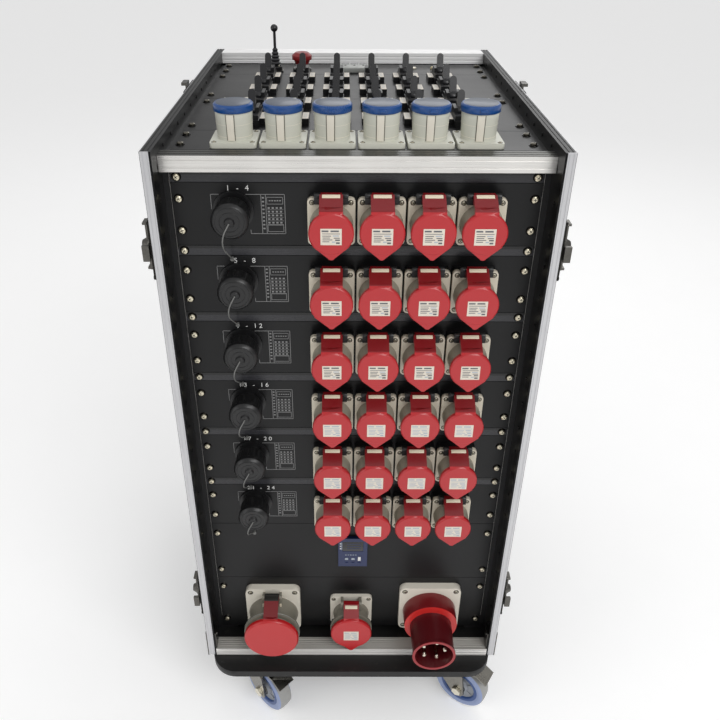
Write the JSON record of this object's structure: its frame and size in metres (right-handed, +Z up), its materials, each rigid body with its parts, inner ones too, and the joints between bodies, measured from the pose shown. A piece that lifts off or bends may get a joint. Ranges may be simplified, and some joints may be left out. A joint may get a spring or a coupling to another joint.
{
  "type": "portable power distribution box",
  "caption": "Flight-case power distribution rack on casters with lidded red outlets, capped multipin connectors, a mains inlet, and breakers and blue outlets on top.",
  "frame": {"origin": "centre of the bounding box at floor level, under the wheels", "axes": "+X to the right seen from the front, -Y out of the socket front, +Z up"},
  "size_m": [0.562, 0.7062, 1.1545],
  "materials": {
    "laminate_black": "black laminate",
    "aluminium": "anodised satin",
    "panel_black": "fine black powder coat",
    "panel_satin": "satin black",
    "screw_steel": "nickel plated",
    "housing_beige": "light grey beige moulding",
    "insert_black": "black moulding",
    "lid_red": "bright red moulding",
    "shroud_red": "dark red moulding",
    "lid_blue": "blue moulding",
    "connector_black": "black metal shell",
    "lanyard": "dark plastic lanyard",
    "pin_metal": "nickel plated contact",
    "breaker_black": "black moulding",
    "meter_blue": "dark blue moulding",
    "trim_grey": "grey moulding",
    "latch_steel": "zinc plated",
    "caster_steel": "zinc plated",
    "wheel_tyre": "grey-blue tyre"
  },
  "bodies": {
    "case": {"caster_board": "laminate_black", "side_walls": "laminate_black", "back_wall": "laminate_black", "floor_panel": "laminate_black", "edge_extrusions": "aluminium", "front_top_rail": "aluminium", "back_top_rail": "aluminium", "front_bottom_rail": "aluminium", "rear_angles": "aluminium", "corner_braces": "latch_steel", "latch_dishes": "latch_steel", "rack_rails": "aluminium", "socket_panels": "panel_black", "spacer_strips": "panel_satin", "lower_panels": "panel_black", "outlet_panel": "panel_black", "breaker_panels": "panel_black", "control_panel": "panel_black", "panel_screws": "screw_steel", "red_flanges": "housing_beige", "red_inserts": "insert_black", "blue_housings": "housing_beige", "multipin_receptacles": "connector_black", "multipin_caps": "connector_black", "cap_lanyards": "lanyard", "socket_63a": "housing_beige", "socket_32a": "housing_beige", "inlet_flange": "housing_beige", "inlet_shroud": "shroud_red", "inlet_pins": "pin_metal", "breaker_bodies": "breaker_black", "meter": "meter_blue", "control_trim": "trim_grey", "caster_plates": "caster_steel"},
    "red_row_1": {"red_lids_1": "lid_red"},
    "red_row_2": {"red_lids_2": "lid_red"},
    "red_row_3": {"red_lids_3": "lid_red"},
    "red_row_4": {"red_lids_4": "lid_red"},
    "red_row_5": {"red_lids_5": "lid_red"},
    "red_row_6": {"red_lids_6": "lid_red"},
    "blue_row": {"blue_lids": "lid_blue"},
    "lid_63": {"lid_63a": "lid_red"},
    "lid_32": {"lid_32a": "lid_red"},
    "breaker_row_1": {"levers_1": "breaker_black"},
    "breaker_row_2": {"levers_2": "breaker_black"},
    "breaker_row_3": {"levers_3": "breaker_black"},
    "breaker_row_4": {"levers_4": "breaker_black"},
    "estop": {"estop_button": "lid_red"},
    "lever": {"control_lever": "breaker_black"},
    "latches_upper": {"latch_wings_upper": "latch_steel"},
    "latches_lower": {"latch_wings_lower": "latch_steel"},
    "latches_top": {"latch_wings_top": "latch_steel"},
    "fork_fl": {"fork_fl": "caster_steel"},
    "wheel_fl": {"wheel_fl": "wheel_tyre"},
    "fork_fr": {"fork_fr": "caster_steel"},
    "wheel_fr": {"wheel_fr": "wheel_tyre"},
    "fork_rl": {"fork_rl": "caster_steel"},
    "wheel_rl": {"wheel_rl": "wheel_tyre"},
    "fork_rr": {"fork_rr": "caster_steel"},
    "wheel_rr": {"wheel_rr": "wheel_tyre"}
  },
  "joints": [
    {"name": "red_row_1_hinge", "type": "hinge", "parent": "case", "child": "red_row_1", "pos_m": [0, -0.2691, 1.02658], "axis": [-1, 0, 0], "range_deg": [0, 80], "stiffness_Nm_per_rad": 0.04, "springref_deg": -28.65},
    {"name": "red_row_2_hinge", "type": "hinge", "parent": "case", "child": "red_row_2", "pos_m": [0, -0.2691, 0.92286], "axis": [-1, 0, 0], "range_deg": [0, 80], "stiffness_Nm_per_rad": 0.04, "springref_deg": -28.65},
    {"name": "red_row_3_hinge", "type": "hinge", "parent": "case", "child": "red_row_3", "pos_m": [0, -0.2691, 0.81914], "axis": [-1, 0, 0], "range_deg": [0, 80], "stiffness_Nm_per_rad": 0.04, "springref_deg": -28.65},
    {"name": "red_row_4_hinge", "type": "hinge", "parent": "case", "child": "red_row_4", "pos_m": [0, -0.2691, 0.71542], "axis": [-1, 0, 0], "range_deg": [0, 80], "stiffness_Nm_per_rad": 0.04, "springref_deg": -28.65},
    {"name": "red_row_5_hinge", "type": "hinge", "parent": "case", "child": "red_row_5", "pos_m": [0, -0.2691, 0.6117], "axis": [-1, 0, 0], "range_deg": [0, 80], "stiffness_Nm_per_rad": 0.04, "springref_deg": -28.65},
    {"name": "red_row_6_hinge", "type": "hinge", "parent": "case", "child": "red_row_6", "pos_m": [0, -0.2691, 0.50798], "axis": [-1, 0, 0], "range_deg": [0, 80], "stiffness_Nm_per_rad": 0.04, "springref_deg": -28.65},
    {"name": "blue_row_hinge", "type": "hinge", "parent": "case", "child": "blue_row", "pos_m": [0, -0.1591, 1.1188], "axis": [-1, 0, 0], "range_deg": [0, 100], "stiffness_Nm_per_rad": 0.04, "springref_deg": -28.65},
    {"name": "lid_63_hinge", "type": "hinge", "parent": "case", "child": "lid_63", "pos_m": [-0.143, -0.2721, 0.27133], "axis": [-1, 0, 0], "range_deg": [0, 95], "stiffness_Nm_per_rad": 0.04, "springref_deg": -28.65},
    {"name": "lid_32_hinge", "type": "hinge", "parent": "case", "child": "lid_32", "pos_m": [-0.001, -0.2701, 0.25283], "axis": [-1, 0, 0], "range_deg": [0, 95], "stiffness_Nm_per_rad": 0.03, "springref_deg": -28.65},
    {"name": "breaker_row_1_tilt", "type": "hinge", "parent": "case", "child": "breaker_row_1", "pos_m": [0, -0.08675, 1.0868], "axis": [1, 0, 0], "range_deg": [0, 40]},
    {"name": "breaker_row_2_tilt", "type": "hinge", "parent": "case", "child": "breaker_row_2", "pos_m": [0, 0.00215, 1.0868], "axis": [1, 0, 0], "range_deg": [0, 40]},
    {"name": "breaker_row_3_tilt", "type": "hinge", "parent": "case", "child": "breaker_row_3", "pos_m": [0, 0.09105, 1.0868], "axis": [1, 0, 0], "range_deg": [0, 40]},
    {"name": "breaker_row_4_tilt", "type": "hinge", "parent": "case", "child": "breaker_row_4", "pos_m": [0, 0.17995, 1.0868], "axis": [1, 0, 0], "range_deg": [0, 40]},
    {"name": "estop_press", "type": "slide", "parent": "case", "child": "estop", "axis": [0, 0, -1], "range_m": [0, 0.004]},
    {"name": "lever_tilt", "type": "hinge", "parent": "case", "child": "lever", "pos_m": [-0.141, 0.2389, 1.0808], "axis": [1, 0, 0], "range_deg": [-12, 12]},
    {"name": "latches_upper_turn", "type": "hinge", "parent": "case", "child": "latches_upper", "pos_m": [0, -0.2701, 0.96], "axis": [1, 0, 0], "range_deg": [-90, 0]},
    {"name": "latches_lower_turn", "type": "hinge", "parent": "case", "child": "latches_lower", "pos_m": [0, -0.2701, 0.295], "axis": [1, 0, 0], "range_deg": [-90, 0]},
    {"name": "latches_top_turn", "type": "hinge", "parent": "case", "child": "latches_top", "pos_m": [0, 0.0519, 1.0655], "axis": [1, 0, 0], "range_deg": [-90, 0]},
    {"name": "swivel_fl", "type": "hinge", "parent": "case", "child": "fork_fl", "pos_m": [-0.183, -0.2641, 0.11], "axis": [0, 0, 1], "continuous": true},
    {"name": "axle_fl", "type": "hinge", "parent": "fork_fl", "child": "wheel_fl", "pos_m": [-0.15613, -0.29097, 0.05], "axis": [0.7071, 0.7071, 0], "continuous": true},
    {"name": "swivel_fr", "type": "hinge", "parent": "case", "child": "fork_fr", "pos_m": [0.183, -0.2641, 0.11], "axis": [0, 0, 1], "continuous": true},
    {"name": "axle_fr", "type": "hinge", "parent": "fork_fr", "child": "wheel_fr", "pos_m": [0.2145, -0.28535, 0.05], "axis": [0.5592, 0.829, 0], "continuous": true},
    {"name": "swivel_rl", "type": "hinge", "parent": "case", "child": "fork_rl", "pos_m": [-0.183, 0.2709, 0.11], "axis": [0, 0, 1], "continuous": true},
    {"name": "axle_rl", "type": "hinge", "parent": "fork_rl", "child": "wheel_rl", "pos_m": [-0.15613, 0.24403, 0.05], "axis": [0.7071, 0.7071, 0], "continuous": true},
    {"name": "swivel_rr", "type": "hinge", "parent": "case", "child": "fork_rr", "pos_m": [0.183, 0.2709, 0.11], "axis": [0, 0, 1], "continuous": true},
    {"name": "axle_rr", "type": "hinge", "parent": "fork_rr", "child": "wheel_rr", "pos_m": [0.2145, 0.24965, 0.05], "axis": [0.5592, 0.829, 0], "continuous": true}
  ]
}
